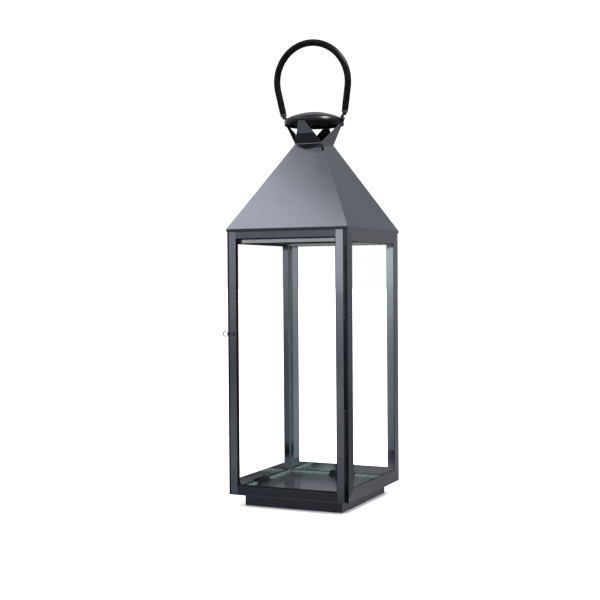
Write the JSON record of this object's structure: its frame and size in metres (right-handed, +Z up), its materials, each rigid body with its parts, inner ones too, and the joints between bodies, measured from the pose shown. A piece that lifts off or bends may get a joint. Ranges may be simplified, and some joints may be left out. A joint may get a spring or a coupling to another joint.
{
  "type": "candle lantern",
  "caption": "Square metal candle lantern with glass walls, a hinged glass door with a ring latch, a pyramid roof with a vented cap, and a swinging bail handle.",
  "frame": {"origin": "centre of the plinth's underside, on the table", "axes": "+Z up; the door faces -Y and its hinges are on the +X side"},
  "size_m": [0.18, 0.1908, 0.627],
  "materials": {
    "black_chrome": "polished black chrome on folded sheet",
    "floor_mirror": "mirror-polished black chrome plate",
    "lintel_steel": "polished chrome sheet",
    "cap_black": "polished black chrome, very dark",
    "clear_glass": "clear float glass with greenish edges",
    "clear_sealant": "clear silicone fillet",
    "dark_clip": "black painted sheet",
    "hinge_steel": "polished black chrome, slightly lighter",
    "bright_steel": "bright nickel",
    "handle_steel": "polished dark steel rod",
    "grip_binding": "black leather binding",
    "black_leather": "black grained leather with a stitched seam"
  },
  "bodies": {
    "lantern_body": {"plinth": "black_chrome", "base_plate": "black_chrome", "floor_panel": "floor_mirror", "post_front_left": "black_chrome", "post_front_right": "black_chrome", "post_rear_left": "black_chrome", "post_rear_right": "black_chrome", "bottom_rail_left": "black_chrome", "bottom_rail_right": "black_chrome", "bottom_rail_rear": "black_chrome", "front_sill": "black_chrome", "top_rail_left": "black_chrome", "top_rail_right": "black_chrome", "top_rail_rear": "black_chrome", "front_lintel": "lintel_steel", "pane_left": "clear_glass", "pane_right": "clear_glass", "pane_rear": "clear_glass", "bead_left": "clear_sealant", "bead_right": "clear_sealant", "bead_rear": "clear_sealant", "pane_clip_left": "dark_clip", "pane_clip_right": "dark_clip", "pane_clip_rear": "dark_clip", "hinge_post_leaf_lower": "hinge_steel", "hinge_post_leaf_upper": "hinge_steel", "hinge_pin_lower": "bright_steel", "hinge_pin_upper": "bright_steel", "roof_front": "black_chrome", "roof_right": "black_chrome", "roof_rear": "black_chrome", "roof_left": "black_chrome", "vent_crown": "black_chrome", "chimney_cap": "cap_black", "handle_ears": "handle_steel", "handle_rivets": "bright_steel"},
    "door": {"door_latch_stile": "black_chrome", "door_hinge_stile": "black_chrome", "door_bottom_rail": "black_chrome", "door_top_rail": "black_chrome", "door_pane": "clear_glass", "door_glass_clips": "dark_clip", "hinge_door_leaf_lower": "hinge_steel", "hinge_door_leaf_upper": "hinge_steel", "latch_washer": "bright_steel"},
    "latch": {"latch_spindle": "bright_steel", "latch_ring": "bright_steel", "latch_tongue": "bright_steel"},
    "handle": {"handle_rod": "handle_steel", "handle_ferrules": "grip_binding", "handle_grip": "black_leather"}
  },
  "joints": [
    {"name": "door_hinge", "type": "hinge", "parent": "lantern_body", "child": "door", "pos_m": [0.0821, -0.0943, 0.2], "axis": [0, 0, 1], "range_deg": [0, 170]},
    {"name": "latch_turn", "type": "hinge", "parent": "door", "child": "latch", "pos_m": [-0.0785, -0.0951, 0.23], "axis": [0, -1, 0], "range_deg": [0, 90]},
    {"name": "handle_swing", "type": "hinge", "parent": "lantern_body", "child": "handle", "pos_m": [0, 0, 0.519], "axis": [1, 0, 0], "range_deg": [-147, 133]}
  ]
}
